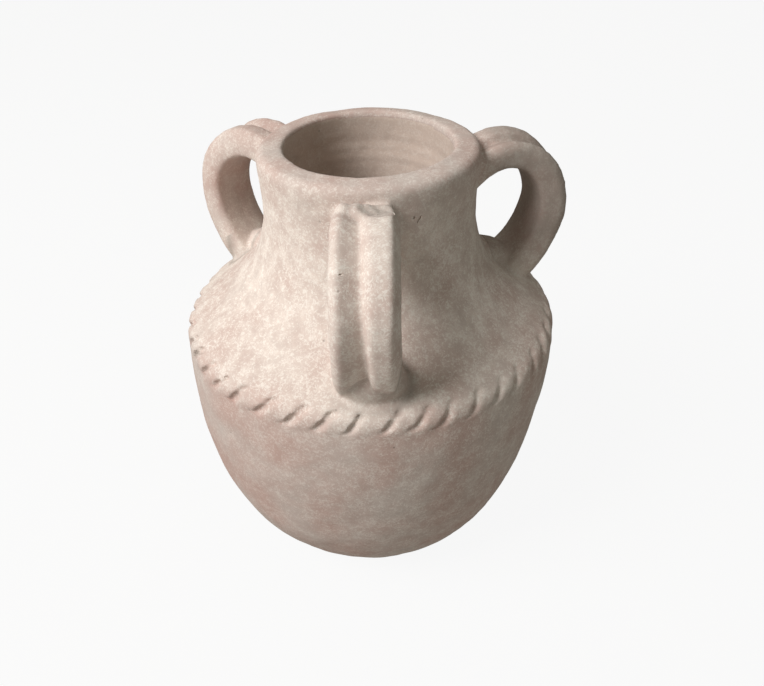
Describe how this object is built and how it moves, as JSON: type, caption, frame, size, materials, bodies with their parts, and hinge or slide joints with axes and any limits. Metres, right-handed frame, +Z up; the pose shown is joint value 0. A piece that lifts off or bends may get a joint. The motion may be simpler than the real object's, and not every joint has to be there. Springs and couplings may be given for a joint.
{
  "type": "ceramic vase",
  "caption": "Hand-built whitewashed terracotta vase with a round belly, a rope moulding, a short neck and double-coil loop handles.",
  "frame": {"origin": "centre of the flat underside, where the vase stands", "axes": "+Z up along the jar's turning axis; the front handle points to -Y, the right handle to +X"},
  "size_m": [0.2259, 0.2276, 0.259],
  "materials": {
    "washed_clay": "matte whitewashed terracotta, mottled",
    "bare_clay": "matte bare terracotta"
  },
  "bodies": {
    "root": {"base_slab": "bare_clay", "lower_body": "washed_clay", "shoulder": "washed_clay", "neck": "washed_clay", "rim": "washed_clay", "rope_band": "washed_clay", "front_handle_left_coil": "washed_clay", "front_handle_right_coil": "washed_clay", "front_handle_top_wad": "washed_clay", "front_handle_foot_wad": "washed_clay", "right_handle_left_coil": "washed_clay", "right_handle_right_coil": "washed_clay", "right_handle_top_wad": "washed_clay", "right_handle_foot_wad": "washed_clay", "left_handle_left_coil": "washed_clay", "left_handle_right_coil": "washed_clay", "left_handle_top_wad": "washed_clay", "left_handle_foot_wad": "washed_clay"}
  },
  "joints": []
}
